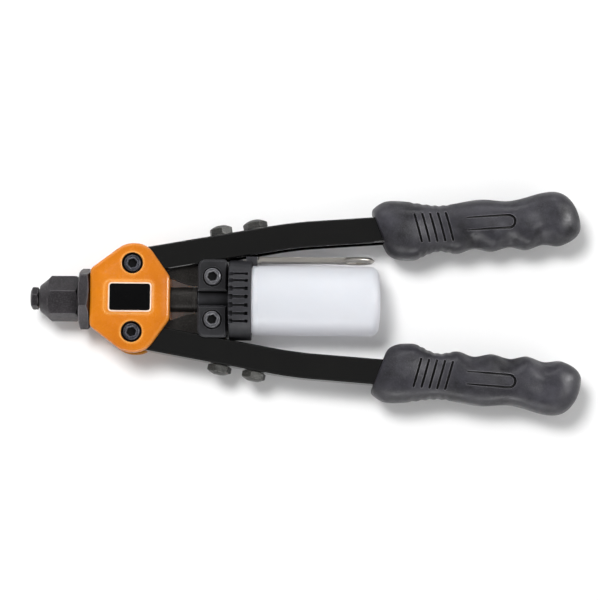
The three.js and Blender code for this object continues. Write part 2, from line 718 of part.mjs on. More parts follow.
put(tool, "head_housing", headHousing(), orangeCoat);
put(tool, "label_plate", labelPlate(), labelBlack);
put(tool, "nose_housing", noseHousing(), darkSteel);
put(tool, "lock_nut", lockNut(), darkSteel);
put(tool, "nosepiece", nosepiece(), darkSteel);
put(tool, "jaw_case", jawCase(), brightSteel);
put(tool, "jaw_case_ring", jawCaseRing(), brightSteel);
for (let index = 0; index < 3; index += 1) {
  put(tool, `jaw_${index + 1}`, jaw(), brightSteel).rotation.x = index * 120 * DEGREE;
}
put(tool, "jaw_pusher", jawPusher(), brightSteel);
put(tool, "jaw_spring", jawSpring(), springSteel);
put(tool, "spindle", spindle(), darkSteel);
put(tool, "crosshead", crosshead(), blackCasting);
put(tool, "spindle_nut", spindleNut(), brightSteel);
put(tool, "bottle_collar", bottleCollar(), collarPlastic);
put(tool, "bottle", bottle(), bottlePlastic);
put(tool, "nosepiece_wrench", wrench(), brightSteel);
addArm("upper");
addArm("lower");

// The origin lies under the middle of the whole tool, level with the collar's lowest line.
const bounds = new THREE.Box3().setFromObject(tool, true);
tool.position.set(-(bounds.min.x + bounds.max.x) / 2, 0, -bounds.min.z);

const group = new THREE.Group();
group.name = "hand_riveter";
group.add(tool);

export default group;
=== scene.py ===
"""Long-arm hand riveter: the finished look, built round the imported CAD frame."""
import json
import math

import bmesh
import bpy
from mathutils import Matrix, Vector


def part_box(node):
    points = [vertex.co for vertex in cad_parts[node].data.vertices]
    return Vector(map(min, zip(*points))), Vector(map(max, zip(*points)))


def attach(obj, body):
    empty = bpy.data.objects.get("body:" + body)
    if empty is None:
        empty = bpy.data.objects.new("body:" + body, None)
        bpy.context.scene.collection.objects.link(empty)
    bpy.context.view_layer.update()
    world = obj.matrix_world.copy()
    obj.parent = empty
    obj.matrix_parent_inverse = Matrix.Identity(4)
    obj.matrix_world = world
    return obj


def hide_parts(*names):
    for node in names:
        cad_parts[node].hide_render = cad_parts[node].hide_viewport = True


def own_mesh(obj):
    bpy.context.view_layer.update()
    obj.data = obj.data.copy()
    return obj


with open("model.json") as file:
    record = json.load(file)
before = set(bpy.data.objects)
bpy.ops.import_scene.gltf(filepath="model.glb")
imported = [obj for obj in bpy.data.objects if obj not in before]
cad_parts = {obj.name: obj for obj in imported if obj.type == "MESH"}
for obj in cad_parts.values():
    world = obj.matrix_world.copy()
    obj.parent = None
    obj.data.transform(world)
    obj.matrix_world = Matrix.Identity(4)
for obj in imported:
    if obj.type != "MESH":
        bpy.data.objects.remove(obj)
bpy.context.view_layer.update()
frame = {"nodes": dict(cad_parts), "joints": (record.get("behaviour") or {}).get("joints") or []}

MM = 0.001
SIDES = {"upper": 1, "lower": -1}
JOINTS = {joint["name"]: joint for joint in frame["joints"]}

# An axis, and the two directions across it.
ALONG_X = (Vector((1, 0, 0)), Vector((0, 1, 0)), Vector((0, 0, 1)))
ALONG_Z = (Vector((0, 0, 1)), Vector((1, 0, 0)), Vector((0, 1, 0)))

# The tool's own axes in millimetres: X from the arm pivots to the grips, Y across, Z from the mid-plane.
PIVOT_POINT = Vector(JOINTS["upper_arm_hinge"]["pos_m"])
TOOL_ORIGIN = Vector((PIVOT_POINT.x, 0, PIVOT_POINT.z))
PIVOT_Y = PIVOT_POINT.y / MM
LINK_SCREW = (Vector(JOINTS["upper_link_hinge"]["pos_m"]) - TOOL_ORIGIN) / MM


def tool_box(node):
    """A CAD node's lowest and highest corners in the tool's millimetres."""
    low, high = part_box(node)
    return (low - TOOL_ORIGIN) / MM, (high - TOOL_ORIGIN) / MM


# -------- meshes
def added(name, data):
    """A new object in the scene."""
    thing = bpy.data.objects.new(name, data)
    bpy.context.scene.collection.objects.link(thing)
    return thing


def new_piece(name, verts, faces):
    """A mesh object from points in the tool's millimetres."""
    mesh = bpy.data.meshes.new(name)
    mesh.from_pydata([TOOL_ORIGIN + Vector(v) * MM for v in verts], [], faces)
    mesh.validate()
    work = bmesh.new()
    work.from_mesh(mesh)
    bmesh.ops.recalc_face_normals(work, faces=work.faces)
    work.to_mesh(mesh)
    work.free()
    return added(name, mesh)


def finish(piece, body, material, nodes=(), sharp=0, bevel=0, angle=30, segments=3):
    """Smooths a piece and puts it on its body with its material. Edges past sharp degrees stay sharp,
    or a bevel rounds those past angle degrees."""
    for polygon in piece.data.polygons:
        polygon.use_smooth = True
    if sharp:
        piece.data.set_sharp_from_angle(angle=math.radians(sharp))
    if bevel:
        rounding = piece.modifiers.new("rounding", "BEVEL")
        rounding.width = bevel * MM
        rounding.segments = segments
        rounding.limit_method = "ANGLE"
        rounding.angle_limit = math.radians(angle)
        rounding.miter_outer = "MITER_ARC"
        weighting = piece.modifiers.new("weighting", "WEIGHTED_NORMAL")
        weighting.weight = 80
    piece.data.materials.clear()
    piece.data.materials.append(material)
    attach(piece, body)
    if nodes:
        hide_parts(*nodes)


def loft(rings, closed=True):
    """Points and faces of a skin through rings of equal length. Ends are closed with n-gons."""
    sides = len(rings[0])
    verts = [point for ring in rings for point in ring]
    faces = []
    for ring in range(len(rings) - 1):
        for side in range(sides):
            a = ring * sides + side
            b = ring * sides + (side + 1) % sides
            faces.append((a, b, b + sides, a + sides))
    if closed:
        faces.append(tuple(range(sides))[::-1])
        faces.append(tuple(range(len(verts) - sides, len(verts))))
    return verts, faces


def turned(profile, sides=96, start=Vector(), axes=ALONG_X, reach=None):
    """A body round an axis through start, from (distance, radius) levels. reach may give the radius
    of a level at an angle. A profile that ends where it starts closes on itself."""
    axis, first, second = axes
    looped = profile[0] == profile[-1]
    rings = []
    for level in profile[:-1] if looped else profile:
        ring = []
        for side in range(sides):
            angle = 2 * math.pi * side / sides
            radius = reach(level, angle) if reach else level[1]
            offset = first * (radius * math.cos(angle)) + second * (radius * math.sin(angle))
            ring.append(start + axis * level[0] + offset)
        rings.append(ring)
    verts, faces = loft(rings, closed=not looped)
    if looped:
        last = len(verts) - sides
        for side in range(sides):
            following = (side + 1) % sides
            faces.append((last + side, last + following, following, side))
    return verts, faces


def turned_axes(axes, angle):
    """The directions across an axis, turned about it."""
    axis, first, second = axes
    c, s = math.cos(angle), math.sin(angle)
    return axis, first * c + second * s, second * c - first * s


def hexagonal(across_flats, turn):
    """A reach for turned(): a level's radius, cut off by the sides of a hexagon."""
    def reach(level, angle):
        sector = (angle - turn) % (math.pi / 3) - math.pi / 6
        return min(level[1], across_flats / 2 / math.cos(sector))
    return reach


def hex_chamfer(depth, face_r, corner, steps=5):
    """(depth, radius) levels of a hexagon's rounded chamfer, from its face to its full corners."""
    shares = [step / steps for step in range(steps + 1)]
    return [(depth * t, face_r + (corner - face_r) * math.sin(math.pi / 2 * t)) for t in shares]


def quarter(steps, first=0):
    """The angles of a quarter turn in even steps."""
    return [math.pi / 2 * step / steps for step in range(first, steps + 1)]


def rounded_outline(corners, steps=8):
    """A closed outline of (x, y, setback) corners, each rounded by a curve between its setbacks."""
    points = []
    count = len(corners)
    for index, (x, y, setback) in enumerate(corners):
        corner = Vector((x, y))
        before = Vector(corners[index - 1][:2])
        after = Vector(corners[(index + 1) % count][:2])
        start = corner + (before - corner).normalized() * setback
        end = corner + (after - corner).normalized() * setback
        for step in range(steps + 1):
            t = step / steps
            points.append((1 - t) ** 2 * start + 2 * t * (1 - t) * corner + t * t * end)
    return points


def rounded_box(x0, x1, y0, y1, setback, steps=8):
    """The outline of a box with rounded corners."""
    return rounded_outline([(x, y, setback) for x, y in ((x1, y0), (x1, y1), (x0, y1), (x0, y0))], steps)


def inset(outline, distance):
    """The outline moved inwards. Its points run counter-clockwise."""
    count = len(outline)
    moved = []
    for index, point in enumerate(outline):
        tangent = (outline[(index + 1) % count] - outline[index - 1]).normalized()
        moved.append(point + Vector((-tangent.y, tangent.x)) * distance)
    return moved


def rim_levels(z, radius, steps, top):
    """(height, inset) levels of a quarter-round rim that ends at height z, from the lowest up."""
    if top:
        return [(z - radius * (1 - math.sin(a)), radius * (1 - math.cos(a))) for a in quarter(steps)]
    return [(z + radius * (1 - math.cos(a)), radius * (1 - math.sin(a))) for a in quarter(steps)]


def slab(outline, z0, z1, round_top=0, round_bottom=0, steps=5):
    """A plate between two heights, with quarter-round rims."""
    levels = rim_levels(z0, round_bottom, steps, False) if round_bottom else [(z0, 0)]
    levels += rim_levels(z1, round_top, steps, True) if round_top else [(z1, 0)]
    rings = [[Vector((p.x, p.y, z)) for p in inset(outline, depth)] for z, depth in levels]
    return loft(rings)


def block(x, y, z):
    """A box between three pairs of limits."""
    verts = [Vector((i, j, k)) for k in z for j in y for i in x]
    faces = [(0, 2, 3, 1), (4, 5, 7, 6), (0, 1, 5, 4), (2, 6, 7, 3), (0, 4, 6, 2), (1, 3, 7, 5)]
    return verts, faces


def combined(parts):
    """Several (verts, faces) pairs as one."""
    verts, faces = [], []
    for part_verts, part_faces in parts:
        shift = len(verts)
        verts += part_verts
        faces += [tuple(index + shift for index in face) for face in part_faces]
    return verts, faces


def boolean(piece, operation, parts):
    """Cuts parts from a piece, or joins them to it, and keeps the result as plain mesh."""
    for part in parts:
        tool = new_piece("boolean_tool", *part)
        step = piece.modifiers.new("step", "BOOLEAN")
        step.operation = operation
        step.solver = "EXACT"
        step.object = tool
        graph = bpy.context.evaluated_depsgraph_get()
        made = bpy.data.meshes.new_from_object(piece.evaluated_get(graph))
        piece.modifiers.clear()
        old = piece.data
        piece.data = made
        bpy.data.meshes.remove(old)
        bpy.data.objects.remove(tool)


def refined(node, body, material, bevel, segments, angle, cutters=()):
    """A piece with the CAD node's shape, its flats made whole and its edges rounded."""
    piece = added(node + "_shell", frame["nodes"][node].data.copy())
    work = bmesh.new()
    work.from_mesh(piece.data)
    same_point, flat = 1e-6, math.radians(0.6)
    bmesh.ops.remove_doubles(work, verts=work.verts, dist=same_point)
    bmesh.ops.dissolve_limit(work, angle_limit=flat, verts=work.verts, edges=work.edges)
    work.to_mesh(piece.data)
    work.free()
    boolean(piece, "DIFFERENCE", cutters)
    finish(piece, body, material, [node], 0, bevel, angle, segments)


# -------- materials
def linear(r, g, b):
    """A display colour from 0 to 255 as scene-linear values."""
    def channel(value):
        value /= 255
        return value / 12.92 if value <= 0.04045 else ((value + 0.055) / 1.055) ** 2.4
    return channel(r), channel(g), channel(b), 1.0


class Surface:
    """A node material with a Principled shader and object coordinates."""

    def __init__(self, name, **sockets):
        self.material = bpy.data.materials.new(name)
        self.material.use_nodes = True
        self.tree = self.material.node_tree
        self.shader = self.tree.nodes["Principled BSDF"]
        self.feed(self.shader, sockets)
        self.place = self.node("TexCoord").outputs["Object"]

    def feed(self, node, inputs):
        """Sets a node's inputs to constants, or links them to other nodes' outputs."""
        for socket, value in inputs.items():
            socket = socket.replace("_", " ") if isinstance(socket, str) else socket
            if isinstance(value, bpy.types.NodeSocket):
                self.tree.links.new(value, node.inputs[socket])
            else:
                node.inputs[socket].default_value = value

    def node(self, kind, **inputs):
        node = self.tree.nodes.new("ShaderNode" + kind)
        self.feed(node, inputs)
        return node

    def stretched(self, scale):
        return self.node("Mapping", Scale=scale, Vector=self.place).outputs["Vector"]

    def noise(self, scale, detail, roughness=0.55, vector=None):
        node = self.node("TexNoise", Scale=scale, Detail=detail, Roughness=roughness)
        self.feed(node, {"Vector": vector or self.place})
        return node.outputs["Fac"]

    def cells(self, scale):
        return self.node("TexVoronoi", Scale=scale, Vector=self.place).outputs["Distance"]

    def ramp(self, pattern, dark, light, low=0.3, high=0.7):
        """A colour from dark to light, as a pattern goes from low to high."""
        node = self.node("ValToRGB", Fac=pattern)
        for element, position, colour in zip(node.color_ramp.elements, (low, high), (dark, light)):
            element.position = position
            element.color = colour
        return node.outputs["Color"]

    def grey(self, value, low, high, low_out, high_out):
        limits = {"From_Min": low, "From_Max": high, "To_Min": low_out, "To_Max": high_out}
        return self.node("MapRange", Value=value, **limits).outputs["Result"]

    def mix(self, factor, first, second):
        factor_in, first_in, second_in, colour_out = 0, 6, 7, 2
        node = self.node("Mix")
        node.data_type = "RGBA"
        self.feed(node, {factor_in: factor, first_in: first, second_in: second})
        return node.outputs[colour_out]

    def edges(self, radius, low, high):
        """A mask of 0 on flats and 1 on edges, from how much a rounded normal turns. The paler colour mixed
        in with it is partly wear and partly a painted highlight.
        """
        rounded = self.node("Bevel", Radius=radius)
        rounded.samples = 4
        dot = self.node("VectorMath")
        dot.operation = "DOT_PRODUCT"
        self.feed(dot, {0: rounded.outputs["Normal"], 1: self.node("NewGeometry").outputs["Normal"]})
        return self.grey(dot.outputs["Value"], 1 - low, 1 - high, 0, 1)

    def painted_crevice_shade(self, reach, low=0.3, high=0.95):
        """A mask of painted shade: 0 in the open and 1 in grooves, from how much of the sky is hidden."""
        node = self.node("AmbientOcclusion", Distance=reach)
        node.samples = 8
        return self.grey(node.outputs["AO"], high, low, 0, 1)

    def bump(self, *layers):
        """Each layer is (height, strength, distance in metres), the first one the coarsest."""
        below = {}
        for height, strength, distance in layers:
            node = self.node("Bump", Strength=strength, Distance=distance, Height=height, **below)
            below = {"Normal": node.outputs["Normal"]}
        self.feed(self.shader, below)

    def colour(self, value):
        self.feed(self.shader, {"Base Color": value})

    def roughness(self, pattern, smooth, rough, spread=0.2):
        """The shader's roughness, over the middle of a pattern."""
        self.feed(self.shader, {"Roughness": self.grey(pattern, 0.5 - spread, 0.5 + spread, smooth, rough)})


def orange_coat():
    coat = Surface("orange_powder_coat", Coat_Weight=0.35, Coat_Roughness=0.09, Specular_IOR_Level=0.22)
    tone = coat.ramp(coat.noise(45, 4), linear(193, 104, 1), linear(210, 120, 5))
    speck = coat.grey(coat.noise(1600, 2), 0.4, 0.7, 0, 0.15)
    tone = coat.mix(speck, tone, linear(232, 142, 30))
    # Pale orange along the rims: a painted highlight.
    coat.colour(coat.mix(coat.edges(0.0025, 0.006, 0.13), tone, linear(248, 182, 96)))
    coat.roughness(coat.noise(220, 3), 0.22, 0.32)
    coat.bump((coat.noise(420, 2), 0.3, 0.00015), (coat.noise(1500, 2), 0.25, 0.00007))
    return coat.material


def label_black():
    label = Surface("label_black", Specular_IOR_Level=0.1)
    label.colour(label.ramp(label.noise(900, 3), linear(3, 3, 4), linear(7, 7, 8), 0.35, 0.75))
    label.roughness(label.noise(300, 3), 0.07, 0.12)
    label.bump((label.noise(2200, 2), 0.08, 0.00002))
    return label.material


def label_rim_highlight():
    # The pale peach colour is a painted highlight along the rim round the label.
    border = Surface("label_rim_highlight", Specular_IOR_Level=0.4)
    border.colour(border.ramp(border.noise(500, 3), linear(232, 202, 180), linear(244, 220, 204)))
    border.roughness(border.noise(700, 2), 0.35, 0.5)
    border.bump((border.noise(1500, 2), 0.15, 0.00005))
    return border.material


def steel(name, tones, metallic, rough, grain_scale, grain_depth, edge=0.0005, reach=0):
    """Treated steel from dark, light and wear-and-highlight display colours: mottled, finely grained, with
    paler edges that are partly wear and partly a painted highlight. Hollows get painted shade within reach
    metres."""
    dark, light, wear_and_highlight = (linear(*tone) for tone in tones)
    metal = Surface(name, Metallic=metallic, Specular_IOR_Level=0.22)
    tone = metal.ramp(metal.noise(70, 5, 0.6), dark, light)
    fleck = metal.grey(metal.noise(1300, 3), 0.45, 0.75, 0, 0.3)
    tone = metal.mix(fleck, tone, wear_and_highlight)
    # Paler edges: partly wear, partly a painted highlight.
    tone = metal.mix(metal.edges(edge, 0.008, 0.12), tone, wear_and_highlight)
    if reach:
        # Painted shade: hollows darkened toward near black.
        tone = metal.mix(metal.painted_crevice_shade(reach), tone, linear(8, 8, 9))
    metal.colour(tone)
    metal.roughness(metal.noise(260, 4), rough - 0.08, rough + 0.1)
    metal.bump((metal.noise(grain_scale, 4), 0.35, grain_depth),
               (metal.cells(grain_scale * 3), 0.2, grain_depth / 2))
    return metal.material


def brushed_steel():
    metal = Surface("brushed_steel", Metallic=0.9)
    streak = metal.noise(1, 5, 0.7, metal.stretched((60, 2200, 2200)))
    tone = metal.ramp(streak, linear(140, 136, 130), linear(176, 172, 166), 0.25, 0.75)
    metal.colour(metal.mix(metal.edges(0.0004, 0.03, 0.6), tone, linear(205, 202, 192)))
    metal.roughness(streak, 0.28, 0.46)
    metal.bump((streak, 0.3, 0.00004), (metal.noise(180, 3), 0.15, 0.0001))
    return metal.material


def black_paint():
    paint = Surface("black_gloss_paint", Coat_Weight=0.5, Coat_Roughness=0.06, Specular_IOR_Level=0.05)
    tone = paint.ramp(paint.noise(30, 4), linear(6, 6, 6), linear(11, 11, 10))
    dust = paint.grey(paint.noise(1800, 3), 0.55, 0.8, 0, 0.3)
    tone = paint.mix(dust, tone, linear(36, 36, 36))
    # Paler edges: partly wear, partly a painted highlight.
    paint.colour(paint.mix(paint.edges(0.0006, 0.04, 0.6), tone, linear(105, 105, 103)))
    paint.roughness(paint.noise(120, 3), 0.12, 0.2)
    paint.bump((paint.noise(150, 2), 0.08, 0.0002), (paint.noise(1400, 2), 0.1, 0.00004))
    return paint.material


def black_casting():
    cast = Surface("black_casting", Specular_IOR_Level=0.2)
    tone = cast.ramp(cast.noise(120, 5), linear(32, 32, 34), linear(46, 46, 49))
    # Paler edges: partly wear, partly a painted highlight.
    tone = cast.mix(cast.edges(0.0009, 0.03, 0.4), tone, linear(116, 116, 122))
    # Painted shade: recesses darkened toward near black.
    cast.colour(cast.mix(cast.painted_crevice_shade(0.009), tone, linear(6, 6, 7)))
    cast.roughness(cast.noise(400, 3), 0.4, 0.58)
    cast.bump((cast.noise(700, 4, 0.7), 0.45, 0.00018), (cast.cells(2200), 0.25, 0.00008))
    return cast.material


def grip_rubber():
    rubber = Surface("grip_rubber", Specular_IOR_Level=0.34)
    tone = rubber.ramp(rubber.noise(46, 6, 0.68), linear(22, 21, 25), linear(60, 59, 66), 0.34, 0.68)
    speck = rubber.grey(rubber.noise(1500, 2), 0.5, 0.8, 0, 0.35)
    tone = rubber.mix(speck, tone, linear(82, 81, 87))
    # Paler edges: partly wear, partly a painted highlight.
    tone = rubber.mix(rubber.edges(0.0012, 0.04, 0.6), tone, linear(120, 118, 124))
    # Painted shade: slots and grooves darkened toward near black.
    rubber.colour(rubber.mix(rubber.painted_crevice_shade(0.004, 0.35, 0.95), tone, linear(8, 8, 9)))
    rubber.roughness(rubber.noise(70, 5, 0.65), 0.3, 0.6, 0.15)
    rubber.bump((rubber.noise(75, 4), 0.4, 0.0012), (rubber.cells(1500), 0.35, 0.00012),
                (rubber.noise(2600, 2), 0.2, 0.00006))
    return rubber.material


def collar_plastic():
    plastic = Surface("collar_plastic", Specular_IOR_Level=0.2)
    tone = plastic.ramp(plastic.noise(60, 4), linear(42, 42, 45), linear(57, 57, 61))
    # Paler edges: partly wear, partly a painted highlight.
    tone = plastic.mix(plastic.edges(0.0005, 0.03, 0.5), tone, linear(122, 121, 128))
    # Painted shade: grooves darkened toward near black.
    plastic.colour(plastic.mix(plastic.painted_crevice_shade(0.003), tone, linear(6, 6, 7)))
    plastic.roughness(plastic.noise(300, 3), 0.38, 0.54)
    plastic.bump((plastic.cells(1800), 0.3, 0.0001), (plastic.noise(900, 3), 0.2, 0.0001))
    return plastic.material


def bottle_plastic():
    # Emission makes the bottle glow a little: painted light for the light that passes through its milky wall.
    milky = Surface("bottle_plastic", Subsurface_Weight=0.9, Subsurface_Scale=0.014, Specular_IOR_Level=0.35,
                    Emission_Color=(0.93, 0.94, 1, 1), Emission_Strength=0.11,
                    Subsurface_Radius=(1.0, 0.9, 0.85))
    cloud = milky.noise(28, 3, 0.5)
    milky.colour(milky.ramp(cloud, linear(219, 219, 225), linear(226, 225, 230), 0.3, 0.75))
    milky.roughness(milky.noise(120, 4), 0.34, 0.46)
    milky.bump((cloud, 0.1, 0.0006), (milky.noise(900, 2), 0.08, 0.00004))
    return milky.material


ORANGE = orange_coat()
LABEL = label_black()
RIM_HIGHLIGHT = label_rim_highlight()
# The nose steel's last figure gives painted shade in its hollows, toward the lock nut.
NOSE_STEEL = steel("phosphated_steel", ((38, 36, 38), (56, 53, 56), (108, 105, 108)), 0.35, 0.42,
                   800, 0.00007, 0.0012, 0.006)
BOLT_STEEL = steel("bolt_steel", ((46, 46, 45), (66, 66, 64), (120, 120, 116)), 0.45, 0.42, 900, 0.0001)
SCREW_STEEL = steel("black_oxide_steel", ((22, 23, 28), (36, 37, 44), (126, 127, 136)), 0.45, 0.42,
                    1000, 0.00006, 0.0011)
WORN_STEEL = steel("worn_screw_steel", ((58, 58, 62), (80, 80, 84), (150, 150, 154)), 0.5, 0.42,
                   1000, 0.00006, 0.0011)
LINK_STEEL = steel("link_steel", ((26, 24, 23), (40, 38, 36), (80, 78, 76)), 0.4, 0.45, 600, 0.00015)
# A near-black steel used only for cups of painted shade in screw recesses and sockets.
SHADE_BLACK = steel("painted_shade_black", ((6, 6, 7), (12, 12, 13), (24, 24, 25)), 0.2, 0.6, 900, 0.0001)
BRIGHT_STEEL = steel("machined_steel", ((132, 131, 127), (160, 159, 155), (200, 200, 196)), 0.9, 0.32,
                     700, 0.00006)
SPRING_STEEL = steel("spring_wire", ((96, 96, 95), (128, 128, 126), (190, 190, 188)), 0.9, 0.28, 500, 0.00004)
BRUSHED = brushed_steel()
PAINT = black_paint()
CASTING = black_casting()
RUBBER = grip_rubber()
COLLAR = collar_plastic()
BOTTLE = bottle_plastic()


# -------- nose
def nose_housing():
    """A hollow hexagon with a cone in front and a thread behind."""
    low, high = tool_box("nose_housing")
    across, turn = 24.4, math.radians(15)
    corner = across / math.sqrt(3)
    front_bore, rear_bore, bore_step = 4.9, 8.7, low.x + 8.2
    front_r, cone_r, cone_end, cone_blend = 8.3, 12.0, low.x + 5.0, 2.1
    hex_end, end_r, round_start = low.x + 23.8, 12.3, 2.0
    thread_r, thread_depth, pitch, thread_chamfer = 11.0, 0.45, 1.5, 0.6
    stations = [(low.x, front_bore), (low.x, front_r - 0.7), (low.x + 0.5, front_r), (cone_end, cone_r)]
    stations += [(cone_end + cone_blend * t, cone_r + (corner - cone_r) * t)
                 for t in (s / 6 for s in range(1, 7))]
    stations += [(hex_end - round_start + (round_start - 0.1) * t, corner - (corner - end_r) * t ** 2)
                 for t in (s / 5 for s in range(6))]
    stations += [(hex_end, end_r - 0.5), (hex_end, thread_r)]
    for index in range(int((high.x - hex_end - 1) / pitch)):
        x = hex_end + 0.4 + index * pitch
        stations += [(x, thread_r - thread_depth), (x + pitch / 2, thread_r)]
    stations += [(high.x - thread_chamfer, thread_r), (high.x, thread_r - thread_chamfer)]
    stations += [(high.x, rear_bore), (bore_step, rear_bore), (bore_step - 0.2, front_bore)]
    stations.append((low.x, front_bore))
    piece = new_piece("nose_sleeve", *turned(stations, 144, reach=hexagonal(across, turn)))
    finish(piece, "head", NOSE_STEEL, ["nose_housing"], 28)


def lock_nut():
    """A thin hexagon nut, chamfered on both faces."""
    low, high = tool_box("lock_nut")
    across, turn = 34.0, math.radians(-13.6)
    bore, face_r, chamfer = 11.3, 16.6, 1.5
    rim = hex_chamfer(chamfer, face_r, across / math.sqrt(3))
    stations = [(low.x, bore), (low.x, face_r - 0.2)]
    stations += [(low.x + depth, radius) for depth, radius in rim]
    stations += [(high.x - depth, radius) for depth, radius in reversed(rim)]
    stations += [(high.x, face_r - 0.2), (high.x, bore), (low.x, bore)]
    piece = new_piece("lock_nut_body", *turned(stations, 144, reach=hexagonal(across, turn)))
    finish(piece, "head", NOSE_STEEL, ["lock_nut"], 28)


def nosepiece():
    """The small hexagon that a rivet's flange sits on, with the mandrel's hole through it."""
    low, high = tool_box("nosepiece")
    across, turn = 12.0, math.radians(15)
    corner = across / math.sqrt(3)
    hole, lead_in, face_r, chamfer = 1.7, 0.9, 5.3, 1.0
    hex_end, hex_end_r, neck_r, thread_r = low.x + 4.5, 6.3, 4.2, 3.2
    thread_start, thread_chamfer = high.x - 5.3, 0.6
    stations = [(low.x + 1.0, hole), (low.x, hole + lead_in), (low.x, face_r - 0.2)]
    stations += [(low.x + 0.15 + depth, radius) for depth, radius in hex_chamfer(chamfer, face_r, corner)]
    stations += [(hex_end - 0.5, corner), (hex_end - 0.1, hex_end_r), (hex_end, hex_end_r - 0.2)]
    stations += [(hex_end, neck_r), (thread_start - 0.4, neck_r), (thread_start, thread_r)]
    stations += [(high.x - thread_chamfer, thread_r), (high.x, thread_r - thread_chamfer), (high.x, hole)]
    stations.append((low.x + 1.0, hole))
    piece = new_piece("nosepiece_tip", *turned(stations, 96, reach=hexagonal(across, turn)))
    finish(piece, "head", NOSE_STEEL, ["nosepiece"], 28)


# -------- head
HEAD_LOW, HEAD_HIGH = tool_box("head_housing")
LABEL_LOW, LABEL_HIGH = tool_box("label_plate")
HEAD_FACE = -HEAD_LOW.z
ARM_SLOT_HALF = 9.6
SCREW_RECESS_R = 6.3
LINK_SEAT_R = 6.0
LINK_SEAT_DEPTH = 1.5


def head_corners():
    """The casting's outline from above, as (x, y, setback) corners."""
    upper = [
        (HEAD_HIGH.x, 12.85, 2.2),
        (8.5, HEAD_HIGH.y, 7.4),
        (-4.6, HEAD_HIGH.y, 5.4),
        (HEAD_LOW.x, 17.4, 2.4),
    ]
    return upper + [(x, -y, setback) for x, y, setback in reversed(upper)]


def moved_in(corners, depth):
    """The corners of an outline drawn inwards by a depth, with their roundings kept concentric."""
    moved = []
    least_setback = 0.4
    for index, (x, y, setback) in enumerate(corners):
        corner = Vector((x, y))
        before = (corner - Vector(corners[index - 1][:2])).normalized()
        after = (Vector(corners[(index + 1) % len(corners)][:2]) - corner).normalized()
        first, second = Vector((-before.y, before.x)), Vector((-after.y, after.x))
        point = corner + (first + second) * depth / (1 + first.dot(second))
        turn = before.angle(after)
        moved.append((point.x, point.y, max(least_setback, setback - depth * math.tan(turn / 2))))
    return moved


def head_body():
    """The casting's block: rounded rims and a face that falls gently towards them."""
    rim, crown, crown_width, steps = 2.3, 1.25, 7.5, 8
    shoulder = HEAD_FACE - crown
    levels = rim_levels(-HEAD_FACE, rim, steps, False) + rim_levels(shoulder, rim, steps, True)
    levels += [(shoulder + crown * (1 - (1 - t) ** 2), rim + crown_width * t)
               for t in (s / 6 for s in range(1, 7))]
    rings = [[Vector((p.x, p.y, z)) for p in rounded_outline(moved_in(head_corners(), depth), 10)]
             for z, depth in levels]
    return loft(rings)


def label_outline(grow, setback):
    """The label's outline, grown on every side."""
    low, high = LABEL_LOW - Vector((grow, grow, 0)), LABEL_HIGH + Vector((grow, grow, 0))
    return rounded_box(low.x, high.x, low.y, high.y, setback)


def head_housing():
    """The casting with its raised pad, label pocket, nose bore, arm slots and screw recesses."""
    body = new_piece("head_casting", *head_body())
    pad_front, pad_rear, pad_half, pad_corner, pad_rim = -16.8, 13.0, 10.2, 4, 0.65
    pad = rounded_box(pad_front, pad_rear, -pad_half, pad_half, pad_corner)
    boolean(body, "UNION", [slab(pad, HEAD_FACE - 1, HEAD_HIGH.z - 0.15, pad_rim)])
    cutters = [slab(label_outline(0.3, 2.6), LABEL_LOW.z - 0.3, HEAD_HIGH.z + 2)]
    nose_r, passage_r, nose_seat = 11.3, 8.3, -12.3
    cutters.append(turned([(HEAD_LOW.x - 1, nose_r), (nose_seat, nose_r), (nose_seat, passage_r),
                           (HEAD_HIGH.x + 1, passage_r)]))
    slot_front, slot_inner, past = -11.5, 12.2, 45
    screw_r, screw_seat, lead_in = 4.3, 11.4, 1.7
    nut_hole_r, nut_r, nut_seat, middle = 3.3, 6.8, -11.7, -2
    for side in SIDES.values():
        pivot = Vector((0, side * PIVOT_Y, 0))
        y = sorted((side * slot_inner, side * past))
        cutters.append(block((slot_front, past), y, (-ARM_SLOT_HALF, ARM_SLOT_HALF)))
        screw = [(middle, screw_r), (screw_seat, screw_r), (screw_seat, SCREW_RECESS_R),
                 (HEAD_FACE - 0.7, SCREW_RECESS_R), (HEAD_FACE + 1, SCREW_RECESS_R + lead_in)]
        nut = [(middle, nut_hole_r), (nut_seat, nut_hole_r), (nut_seat, nut_r), (-HEAD_FACE - 1, nut_r)]
        cutters += [turned(section, 64, pivot, ALONG_Z) for section in (screw, nut)]
    boolean(body, "DIFFERENCE", cutters)
    finish(body, "head", ORANGE, ["head_housing"], 0, 0.45, 50, 2)


def label():
    """A gloss plate, and a raised rim that covers the edge of its pocket, coloured pale as a painted
    highlight.
    """
    plate = slab(label_outline(-0.05, 1.7), LABEL_LOW.z, LABEL_HIGH.z - 0.08, 0.1, 0, 3)
    finish(new_piece("label_field", *plate), "head", LABEL, ["label_plate"], 40)
    frame_plate = slab(label_outline(0.75, 2.5), LABEL_LOW.z + 0.1, LABEL_HIGH.z, 0.3, 0, 4)
    rim = new_piece("label_rim", *frame_plate)
    boolean(rim, "DIFFERENCE", [slab(label_outline(-0.1, 1.75), LABEL_LOW.z - 1, LABEL_HIGH.z + 1)])
    finish(rim, "head", RIM_HIGHLIGHT, sharp=60)


